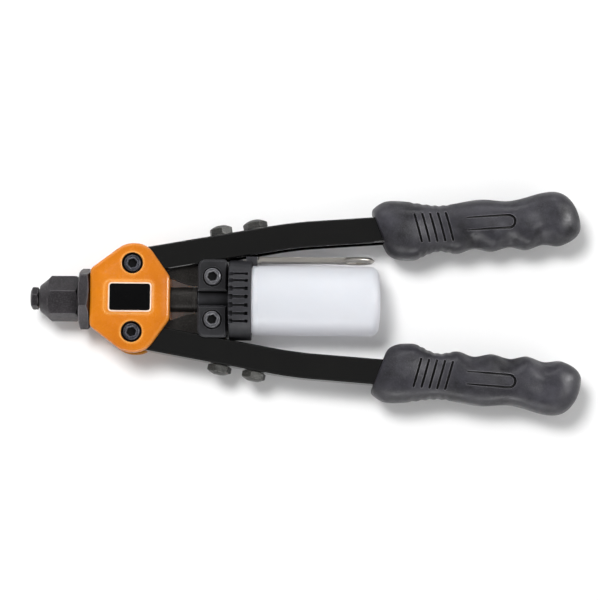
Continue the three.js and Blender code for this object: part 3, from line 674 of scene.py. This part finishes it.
def socket_screw(name, body, node, material, centre, head_height, shank_r):
    """A knurled socket-head screw along Z, with a hexagon socket lined by a dark cup of painted shade."""
    low, high = tool_box(node)
    head_low, head_high = high.z - head_height, high.z
    radius, knurls, knurl_depth, per_knurl = 5.0, 48, 0.17, 4
    round_r, chamfer = 0.75, 0.4
    # Each level is (height, radius, knurled).
    levels = [(low.z, shank_r - 0.3, 0), (low.z + chamfer, shank_r, 0), (head_low, shank_r, 0),
              (head_low, radius - 0.25, 0), (head_low + 0.25, radius, 0), (head_low + 0.3, radius, 1),
              (head_high - round_r - 0.1, radius, 1), (head_high - round_r, radius, 0)]
    levels += [(head_high - round_r + round_r * math.sin(a), radius - round_r + round_r * math.cos(a), 0)
               for a in quarter(6, 1)]

    def knurled(level, angle):
        return level[1] - knurl_depth * (1 - math.cos(angle * knurls)) / 2 * level[2]

    piece = new_piece(name, *turned(levels, knurls * per_knurl, centre, ALONG_Z, knurled))
    socket_r, floor, lead_in = 5.2 / math.sqrt(3), head_high - 2.6, 0.6
    axes = turned_axes(ALONG_Z, math.radians(14))
    hexagon = [(floor, socket_r), (head_high - lead_in, socket_r),
               (head_high + lead_in, socket_r + 2 * lead_in)]
    boolean(piece, "DIFFERENCE", [turned(hexagon, 6, centre, axes)])
    finish(piece, body, material, [node], 32)
    outer, inner, top = socket_r - 0.02, socket_r - 0.14, head_high - lead_in - 0.02
    cup = [(floor + 0.01, outer), (top, outer), (top, inner), (floor + 0.1, inner)]
    # A dark cup in the socket: painted shade.
    lining = new_piece(name + "_socket", *turned(cup, 6, centre, axes))
    finish(lining, body, SHADE_BLACK, sharp=20)


def seat_shade_liner(name, body, centre, floor_z, inner, outer, top):
    """A thin black cup on the floor and wall of the recess round a screw head: painted shade."""
    skin = 0.15
    section = [(floor_z, inner), (floor_z + skin, inner), (floor_z + skin, outer - skin), (top, outer - skin),
               (top, outer), (floor_z, outer), (floor_z, inner)]
    piece = new_piece(name, *turned(section, 64, centre, ALONG_Z))
    finish(piece, body, SHADE_BLACK, sharp=30)


def screws():
    ear_top = tool_box("crosshead")[1].z
    for name, side in SIDES.items():
        centre = Vector((0, side * PIVOT_Y, 0))
        seat_shade_liner(f"{name}_pivot_seat_shade", "head", centre, 11.42, 4.2, SCREW_RECESS_R - 0.02, HEAD_FACE - 0.75)
        socket_screw(f"{name}_pivot_cap_screw", "head", f"{name}_pivot_screw", SCREW_STEEL, centre, 3, 4.0)
        body, floor = "spindle_group", ear_top - LINK_SEAT_DEPTH + 0.02
        centre = Vector((LINK_SCREW.x, side * LINK_SCREW.y, 0))
        seat_shade_liner(f"{name}_link_seat_shade", body, centre, floor, 3.5, LINK_SEAT_R - 0.02, ear_top - 0.35)
        socket_screw(f"{name}_link_cap_screw", body, f"{name}_link_screw", WORN_STEEL, centre, 4, 3.0)


def pivot_nut(name):
    """A small chamfered hexagon nut in its CAD node's place."""
    node, across, hole = f"{name}_pivot_nut", 10.0, 3.3
    low, high = tool_box(node)
    centre = Vector(((low.x + high.x) / 2, (low.y + high.y) / 2, 0))
    corner = across / math.sqrt(3)
    flat = across / 2
    levels = [(low.z, hole), (low.z, flat - 0.2), (low.z + 0.5, flat + 0.3), (low.z + 0.8, corner),
              (high.z - 0.4, corner), (high.z, flat), (high.z, hole), (low.z, hole)]
    nut = turned(levels, 96, centre, ALONG_Z, hexagonal(across, math.pi / 6))
    piece = new_piece(f"{name}_pivot_locknut", *nut)
    finish(piece, "head", BOLT_STEEL, [node], 28)


def jaw_spring():
    """A wire wound between jaw pusher and spindle."""
    low, high = tool_box("jaw_spring")
    wire_r, turns, per_turn, sides = 0.5, 5, 64, 14
    coil_r = high.y - wire_r
    start, end = low.x + wire_r, high.x - wire_r
    rings = []
    for step in range(turns * per_turn + 1):
        share = step / (turns * per_turn)
        angle = 2 * math.pi * turns * share
        outward = Vector((0, math.cos(angle), math.sin(angle)))
        centre = Vector((start + (end - start) * share, 0, 0)) + outward * coil_r
        ring = []
        for side in range(sides):
            turn = 2 * math.pi * side / sides
            ring.append(centre + outward * wire_r * math.cos(turn) + Vector((wire_r * math.sin(turn), 0, 0)))
        rings.append(ring)
    piece = new_piece("jaw_coil_spring", *loft(rings))
    finish(piece, "spindle_group", SPRING_STEEL, ["jaw_spring"], 50)
    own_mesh(piece)


# -------- spindle, collar and bottle
def spindle():
    """A tube with a thread at each end and a clip groove in front of the crosshead."""
    low, high = tool_box("spindle")
    radius, thread_r, bore, neck, chamfer = high.y, 5.7, 3.6, 6.8, 0.5
    groove_depth = 0.35
    shoulder = tool_box("crosshead")[0].x - 0.3
    clip = shoulder - 2.6
    profile = [(low.x, bore + 0.4), (low.x, thread_r - chamfer), (low.x + chamfer, thread_r),
               (neck, thread_r), (neck, radius - chamfer), (neck + chamfer, radius), (clip, radius),
               (clip + 0.2, radius - groove_depth), (clip + 0.8, radius - groove_depth), (clip + 1.0, radius),
               (shoulder - chamfer, radius), (shoulder, radius - chamfer), (shoulder, thread_r),
               (high.x - chamfer, thread_r), (high.x, thread_r - chamfer), (high.x, bore + 0.3),
               (high.x - 0.3, bore), (low.x + 0.4, bore), (low.x, bore + 0.4)]
    piece = new_piece("spindle_tube", *turned(profile, 80))
    finish(piece, "spindle_group", LINK_STEEL, ["spindle"], 30)


GROOVE_PITCH = math.radians(12)


def turned_x(part, angle):
    """A part turned about the tool's axis."""
    turn = Matrix.Rotation(angle, 3, "X")
    return [turn @ v for v in part[0]], part[1]


def groove(x0, x1, half, floor_z):
    """A cutter for a straight groove along the collar, with rounded ends."""
    past = 27
    return slab(rounded_box(x0, x1, -half, half, 0.5, 4), floor_z, past)


def bottle_collar():
    """A grooved ring with the bottle's thread inside and the wrench's pocket on one side."""
    low, high = tool_box("bottle_collar")
    radius, thread_r, mouth_r, hub_r = high.z, 20.1, 21.7, 6.3
    wall, rear = low.x + 3.7, 72.1
    front, back = 1.2, 0.7
    profile = [(low.x, hub_r)]
    profile += [(low.x + front * (1 - math.sin(a)), radius - front * (1 - math.cos(a)))
                for a in reversed(quarter(6))]
    profile += [(rear - back * (1 - math.sin(a)), radius - back * (1 - math.cos(a))) for a in quarter(5)]
    profile += [(rear, thread_r + 0.5), (rear - 0.5, thread_r), (wall, thread_r), (wall, hub_r)]
    profile.append((low.x, hub_r))
    piece = new_piece("collar_ring", *turned(profile, 180))
    pocket = block((68.6, high.x), (20.5, high.y), (-7.6, 7.6))
    boolean(piece, "UNION", [pocket])
    mouth = turned([(rear, 0.1), (rear, mouth_r), (high.x + 1, mouth_r), (high.x + 1, 0.1)])
    wrench_slot = block((66.5, 80), (22.6, 24.6), (-6.4, 6.4))
    boolean(piece, "DIFFERENCE", [mouth, wrench_slot])
    deep = radius - 3.4
    grooves = [groove(low.x + 1.4, 69.9, 0.9, radius - 1.9), groove(68.1, 70.2, 1.2, deep),
               groove(low.x - 1, low.x + 2.8, 1.7, deep)]
    turns = [index * GROOVE_PITCH + face for face in (0, math.pi) for index in range(-3, 4)]
    boolean(piece, "DIFFERENCE", [combined([turned_x(part, turn) for turn in turns]) for part in grooves])
    finish(piece, "spindle_group", COLLAR, ["bottle_collar"], 0, 0.2, 40, 2)


def bottle():
    """A thin-walled bottle with a threaded neck and a slightly domed end."""
    low, high = tool_box("bottle")
    radius, neck_r, wall, axis_gap = high.y, 19.8, 1.6, 0.02
    shoulder, end = 72.4, high.x
    shoulder_round, corner, dome, dome_share = 0.8, 5.6, 0.8, 0.92
    threads, pitch, seam_depth = 3, 2.6, 0.18

    def end_corner(gap):
        """The rounded corner at the end, drawn in by a gap."""
        angles = [math.radians(90 - 82 * step / 10) for step in range(11)]
        reach, middle = corner - gap, end - dome - corner
        return [(middle + reach * math.cos(a), radius - corner + reach * math.sin(a)) for a in angles]

    outer = [(low.x, neck_r - wall), (low.x, neck_r - 0.3), (low.x + 0.3, neck_r)]
    for index in range(threads):
        x = low.x + 1.2 + index * pitch
        outer += [(x, neck_r), (x + 0.5, neck_r + 0.2), (x + 1.0, neck_r)]
    outer += [(shoulder - 0.2, neck_r), (shoulder, neck_r + 0.3), (shoulder, radius - shoulder_round)]
    outer += [(shoulder + shoulder_round * (1 - math.cos(a)), radius - shoulder_round * (1 - math.sin(a)))
              for a in quarter(6, 1)]
    outer += [(shoulder + 3.2, radius), (shoulder + 3.5, radius - seam_depth),
              (shoulder + 3.9, radius - seam_depth), (shoulder + 4.2, radius)]
    dome_out = [(end - dome * (r / (radius - corner)) ** 2 * dome_share, r)
                for r in ((radius - corner) * (1 - s / 8) for s in range(1, 8))]
    profile = outer + end_corner(0) + dome_out + [(end, axis_gap), (end - wall, axis_gap)]
    profile += end_corner(wall)[::-1]
    profile += [(shoulder + 4, radius - wall), (shoulder + 1, neck_r - wall), (low.x, neck_r - wall)]
    piece = new_piece("mandrel_bottle", *turned(profile, 128))
    finish(piece, "bottle", BOTTLE, ["bottle"], 40)


def crosshead():
    """The casting with the screws' seats sunk deeper, so that each head stands in a dark ring."""
    top = tool_box("crosshead")[1].z
    floor, hole_r = top - LINK_SEAT_DEPTH, 3.4
    seat = [(floor, hole_r), (floor, LINK_SEAT_R), (top + 1, LINK_SEAT_R), (top + 1, hole_r), (floor, hole_r)]
    centres = [Vector((LINK_SCREW.x, side * LINK_SCREW.y, 0)) for side in SIDES.values()]
    seats = [turned(seat, 64, centre, ALONG_Z) for centre in centres]
    refined("crosshead", "spindle_group", CASTING, 0.5, 3, 30, [combined(seats)])


def wrench():
    """A flat strip standing on edge, with a ring end whose rim is bevelled from both faces."""
    low, high = tool_box("nosepiece_wrench")
    half_thick, tongue_thick = 1.5, 1.4
    middle = high.y - half_thick
    eye_r = high.z
    eye_x = high.x - eye_r
    start, waist = low.x + 8.6, eye_x - eye_r * 1.4
    strip_half, waist_half, neck, rounding = 6, 5.4, 7, 1.2

    def upright(part):
        """A part that lies flat, set on its edge."""
        return [Vector((v.x, middle - v.z, v.y)) for v in part[0]], part[1]

    half = [(start, -strip_half, rounding), (waist, -waist_half, rounding), (eye_x - neck, -neck, rounding)]
    strip = rounded_outline(half + [(x, -y, setback) for x, y, setback in reversed(half)], 4)
    piece = new_piece("wrench_strip", *upright(slab(strip, -half_thick, half_thick, 0.3, 0.3, 3)))
    near, far = (half_thick, eye_r - 1.5), (0.45, eye_r - 0.15)
    rim = [(-near[0], near[1]), (-far[0], far[1]), (-0.2, eye_r), (0.2, eye_r), far, near]
    eye = Vector((eye_x, 0, 0))
    ring = turned(rim, 96, eye, ALONG_Z)
    tongue = block((low.x, start + 2), (low.y, low.y + tongue_thick), (-strip_half, strip_half))
    boolean(piece, "UNION", [upright(ring), tongue])
    corner, land, past = 12.3 / math.sqrt(3), 1.2, 4.0
    hexagon = [(-past, corner + 2.0), (-land, corner), (land, corner), (past, corner + 2.0)]
    boolean(piece, "DIFFERENCE", [upright(turned(hexagon, 6, eye, turned_axes(ALONG_Z, math.pi / 6)))])
    finish(piece, "wrench", BRUSHED, ["nosepiece_wrench"], 30)


# -------- arms
ARM_TURN = math.radians(10.2)
ARM_OFFSET = 21.96
BOLT_STATIONS = (55.6, 76.8)
BOLT_TURNS = {"upper": (8, 22), "lower": (-17, -11)}


def arm_bolt(side_name, index):
    """A hexagon-head bolt across the arm, with a washer face and a domed chamfer."""
    side = SIDES[side_name]
    across, height, dome, tip = 13.0, 5.9, 2.3, 3.0
    corner = across / math.sqrt(3)
    turn = math.radians(30 - BOLT_TURNS[side_name][index])
    shank_end, shank_r, seat, washer_r, washer = -4.8, 4.0, 8.05, 6.0, 0.4
    heading = Vector((-math.sin(ARM_TURN), side * math.cos(ARM_TURN), 0))
    along_arm = Vector((math.cos(ARM_TURN), side * math.sin(ARM_TURN), 0))
    origin = Vector((0, side * ARM_OFFSET, 0)) + along_arm * BOLT_STATIONS[index]
    levels = [(shank_end, shank_r - 0.4), (shank_end + 0.4, shank_r), (seat, shank_r), (seat, washer_r),
              (seat + washer - 0.05, washer_r), (seat + washer, washer_r + 0.35)]
    levels += [(seat + washer + depth, radius) for depth, radius in hex_chamfer(0.5, 6.5, corner, 3)]
    levels += [(seat + height - dome * t ** 1.25, tip + (corner + 0.3 - tip) * t)
               for t in (1 - s / 8 for s in range(9))]
    axes = (heading, along_arm, Vector((0, 0, 1)))
    head = turned(levels, 96, origin, axes, hexagonal(across, turn))
    piece = new_piece(f"{side_name}_bolt_{index + 1}", *head)
    node = f"{side_name}_arm_bolt_{index + 1}"
    finish(piece, f"{side_name}_arm", BOLT_STEEL, [node], 26)


def arms():
    for name in SIDES:
        body = f"{name}_arm"
        refined(f"{name}_arm_channel", body, PAINT, 0.95, 4, 25)
        refined(f"{name}_root_lever", body, LINK_STEEL, 0.4, 2, 30)
        refined(f"{name}_link", f"{name}_link", LINK_STEEL, 0.4, 2, 40)


# -------- grips
GRIP_ANGLE = math.radians(4.2)
GRIP_LENGTH = 123.3
GRIP_SKEW = 0.3
TIP_SHARE = 0.9995
# (distance along the grip, distance from its middle) of its two edges and its half height.
OUTER_EDGE = [(0, 15.6), (11, 17.8), (39, 13.2), (63, 15.2), (80, 13.3), (106, 17.3), (125, 17.3)]
INNER_EDGE = [(0, -18), (17, -19.2), (36, -14.8), (47, -16.8), (57, -14.5), (68, -16.8), (79, -14.9),
              (89, -17.2), (100, -14.7), (111, -16.4), (125, -16.4)]
HALF_HEIGHT = [(0, 16.4), (12, 17), (40, 13.6), (63, 14.4), (80, 13.6), (106, 16), (125, 16)]
SLOT_START = 23.2
SLOT_PITCH = 4.8
SLOT_LEAN = 0.2


def smoothstep(x, low, high):
    """A smooth rise from 0 at low to 1 at high."""
    t = min(1, max(0, (x - low) / (high - low)))
    return t * t * (3 - 2 * t)


def along(knots, t):
    """A smooth run through (distance, value) knots, level at each knot."""
    for (t0, v0), (t1, v1) in zip(knots, knots[1:]):
        if t <= t1:
            return v0 + (v1 - v0) * smoothstep(t, t0, t1)
    return knots[-1][1]


def window(t, rise, fall):
    """1 between two fades, each a (start, end) pair, and 0 outside them."""
    return smoothstep(t, *rise) * (1 - smoothstep(t, *fall))


def grip_point(t, angle):
    """A point of the grip's skin, t along it and at an angle round it."""
    front_round, front_share, end_round, end_middle, squareness = 9, 0.72, 17, -5, 2.5
    rib_depth, finger_depth, finger_start, finger_pitch = 0.45, 3.6, 47, 21.2
    dish_depth, dish_t, dish_v, dish_length, dish_width = 2.6, 101, 1, 9, 7
    front = min(1, front_share + (1 - front_share) * math.sqrt(1 - (1 - min(t / front_round, 1)) ** 2))
    end = max(0, (t - GRIP_LENGTH + end_round) / end_round)
    rear = math.sqrt(max(0, 1 - end * end))
    pull = smoothstep(t, GRIP_LENGTH - end_round, GRIP_LENGTH) * end_middle
    outer = pull + (along(OUTER_EDGE, t) * front - pull) * rear
    inner = pull + (along(INNER_EDGE, t) * front - pull) * rear
    height = along(HALF_HEIGHT, t) * front * rear
    power = 2 / squareness
    c, s = math.cos(angle), math.sin(angle)
    across = math.copysign(abs(c) ** power, c)
    up = math.copysign(abs(s) ** power, s)
    v = (outer + inner) / 2 + across * (outer - inner) / 2
    # Ribs round the sides beside the slots.
    ribs = smoothstep(abs(across), 0.7, 0.98) * window(t, (19, 23), (43, 46))
    wave = 0.5 + 0.5 * math.cos(2 * math.pi * (t - SLOT_START) / SLOT_PITCH)
    v -= math.copysign(rib_depth, across) * ribs * wave
    # Finger hollows run a little way up from the inner edge.
    fingers = smoothstep(-across, 0.15, 0.9) * window(t, (40, 48), (104, 110))
    wave = 0.5 - 0.5 * math.cos(2 * math.pi * (t - finger_start) / finger_pitch)
    hollow = finger_depth * fingers * wave
    # A shallow dish on each face of the end bulb.
    dish = dish_depth * math.exp(-((t - dish_t) / dish_length) ** 2 - ((v - dish_v) / dish_width) ** 2)
    level = height * up
    drop = hollow * smoothstep(abs(level), 1, 10) + dish * smoothstep(abs(level), 8, 15)
    level -= math.copysign(drop, up)
    skew = GRIP_SKEW * max(0, 1 - t / 30)
    return Vector((t - skew * v, v, level))


def grip_frame(name):
    """The matrix from the grip's own millimetres to the tool's, from its CAD node's box."""
    side = SIDES[name]
    turn = Matrix.Rotation(GRIP_ANGLE, 4, "Z")
    low, high = tool_box(f"{name}_grip")
    samples = [turn @ grip_point(GRIP_LENGTH * s / 200 * TIP_SHARE, math.pi * a / 24)
               for s in range(201) for a in range(48)]
    clearance = 0.02
    shift_x = high.x - max(p.x for p in samples)
    shift_y = (high.y if side > 0 else -low.y) - max(p.y for p in samples) - clearance
    mirror = Matrix.Diagonal((1, side, 1, 1))
    return mirror @ Matrix.Translation((shift_x, shift_y, 0)) @ turn


def slot_cutter(t, face):
    """A slanted slot with round ends, sunk in one face of the grip."""
    half_length, half_width, depth, offset, past = 8.5, 0.72, 3.3, -1.2, 3
    lean = Vector((-SLOT_LEAN, 1)).normalized()
    side = Vector((lean.y, -lean.x))
    middle = Vector((t, offset))
    outline = []
    for end in (1, -1):
        for step in range(9):
            angle = math.pi * step / 8
            reach = half_length + half_width * math.sin(angle)
            outline.append(middle + side * half_width * math.cos(angle) * end + lean * reach * end)
    height = along(HALF_HEIGHT, t)
    bottom, top = (height - depth, height + past) if face > 0 else (-height - past, depth - height)
    return slab(outline, bottom, top)


def pad_groove(face):
    """The groove round the inset pad: open at the front, round and deepest at the rear."""
    start, end, half, offset, past = 53.0, 82.3, 3.8, -0.6, 20
    width, widening, depth, deepening = 0.85, 0.35, 1.5, 0.9
    bend = end - half
    path = [Vector((start, half)), Vector((bend, half))]
    path += [Vector((bend + half * math.sin(a), half * math.cos(a)))
             for a in (math.pi * s / 16 for s in range(1, 16))]
    path += [Vector((bend, -half)), Vector((start, -half))]
    rings = []
    for index, point in enumerate(path):
        before = path[max(index - 1, 0)]
        after = path[min(index + 1, len(path) - 1)]
        tangent = (after - before).normalized()
        side = Vector((-tangent.y, tangent.x))
        share = smoothstep(point.x, start, end)
        half_width = width / 2 + widening * share
        floor = along(HALF_HEIGHT, point.x) - depth - deepening * share
        corners = ((half_width, floor), (half_width, past), (-half_width, past), (-half_width, floor))
        rings.append([Vector((point.x + side.x * w, point.y + side.y * w + offset, face * z))
                      for w, z in corners])
    return loft(rings)


def grip(name):
    """The moulded grip with its slots, pad grooves and the socket for the arm."""
    stations, sides, crowding = 230, 120, 1.1
    matrix = grip_frame(name)

    def place(part):
        return [(matrix @ v.to_4d()).to_3d() for v in part[0]], part[1]

    rings = []
    for index in range(stations):
        t = GRIP_LENGTH * TIP_SHARE * math.sin(math.pi / 2 * index / (stations - 1)) ** crowding
        rings.append([grip_point(t, 2 * math.pi * side / sides) for side in range(sides)])
    piece = new_piece(f"{name}_handle_grip", *place(loft(rings)))
    slots = [slot_cutter(SLOT_START + SLOT_PITCH * k, face) for k in range(5) for face in (1, -1)]
    socket = block((-20, 70), (-8.0, 8.0), (-9.25, 9.25))
    boolean(piece, "DIFFERENCE", [place(combined(slots + [pad_groove(1), pad_groove(-1)])), place(socket)])
    finish(piece, f"{name}_arm", RUBBER, [f"{name}_grip"], 42)


# -------- stage
def camera():
    """Nearly straight above, tipped a little towards the lower arm, with a long lens."""
    elevation, distance, width = math.radians(84.5), 1.3, 0.366
    sensor, turn = 36, math.radians(0.55)
    aim = TOOL_ORIGIN + Vector((101.5, 0.6, 0)) * MM
    back = Vector((0, -math.cos(elevation), math.sin(elevation)))
    data = bpy.data.cameras.new("camera")
    data.sensor_width = sensor
    data.lens = sensor * distance / width
    data.clip_end = 10
    eye = added("camera", data)
    eye.location = aim + back * distance
    eye.rotation_mode = "QUATERNION"
    roll = Matrix.Rotation(turn, 4, "Z")
    eye.rotation_quaternion = ((-back).to_track_quat("-Z", "Y").to_matrix().to_4x4() @ roll).to_quaternion()
    bpy.context.scene.camera = eye


def lamp(name, position, size, power, gloss_only=False):
    """A soft box aimed at the tool. It either lights it or is only mirrored in it."""
    aim = Vector((0, 0, 0.02))
    data = bpy.data.lights.new(name, "AREA")
    data.shape = "RECTANGLE"
    data.size, data.size_y = size
    data.energy = power
    light = added(name, data)
    light.location = position
    light.visible_glossy = gloss_only
    light.visible_diffuse = not gloss_only
    light.rotation_mode = "QUATERNION"
    light.rotation_quaternion = (aim - Vector(position)).to_track_quat("-Z", "Y")


def floor():
    """A plain pale floor at the height of the tool's lowest line."""
    half = 3
    mesh = bpy.data.meshes.new("floor")
    corners = [(-half, -half, 0), (half, -half, 0), (half, half, 0), (-half, half, 0)]
    mesh.from_pydata(corners, [], [(0, 1, 2, 3)])
    plane = added("floor", mesh)
    pale = Surface("floor_paint", Specular_IOR_Level=0.1)
    pale.colour(pale.ramp(pale.noise(3, 2), (0.93, 0.93, 0.93, 1), (0.95, 0.95, 0.95, 1)))
    pale.roughness(pale.noise(20, 2), 0.8, 0.9)
    mesh.materials.append(pale.material)


def light():
    """A white world, two soft boxes that light the tool and three strips that it mirrors."""
    world = bpy.data.worlds.new("studio")
    world.use_nodes = True
    background = world.node_tree.nodes["Background"]
    background.inputs["Color"].default_value = (1, 1, 1, 1)
    background.inputs["Strength"].default_value = 0.46
    bpy.context.scene.world = world
    lamp("key", (-0.34, 0.38, 1.45), (0.42, 0.42), 17.5)
    lamp("fill", (0.9, -0.5, 0.9), (0.8, 0.8), 2.5)
    lamp("right_strip", (1.1, 0.3, 0.85), (0.3, 1.2), 26, gloss_only=True)
    lamp("back_strip", (-0.2, 1.2, 0.75), (1.8, 0.16), 9, gloss_only=True)
    lamp("front_strip", (-0.1, -1.2, 0.3), (1.8, 0.2), 13, gloss_only=True)
    bpy.context.scene.view_settings.view_transform = "Standard"


nose_housing()
lock_nut()
nosepiece()
head_housing()
label()
screws()
for side_name in SIDES:
    pivot_nut(side_name)
spindle()
bottle_collar()
bottle()
arms()
for side_name in SIDES:
    arm_bolt(side_name, 0)
    arm_bolt(side_name, 1)
    grip(side_name)
crosshead()
wrench()
jaw_spring()

INNER_PARTS = {
    "jaw_case": "spindle_group", "jaw_case_ring": "spindle_group", "spindle_nut": "spindle_group",
    "jaw_1": "jaw_1", "jaw_2": "jaw_2", "jaw_3": "jaw_3", "jaw_pusher": "jaw_pusher",
    "upper_link_pin": "upper_arm", "lower_link_pin": "lower_arm",
}
for node, body in INNER_PARTS.items():
    refined(node, body, BRIGHT_STEEL, 0.2, 2, 35)

camera()
floor()
light()
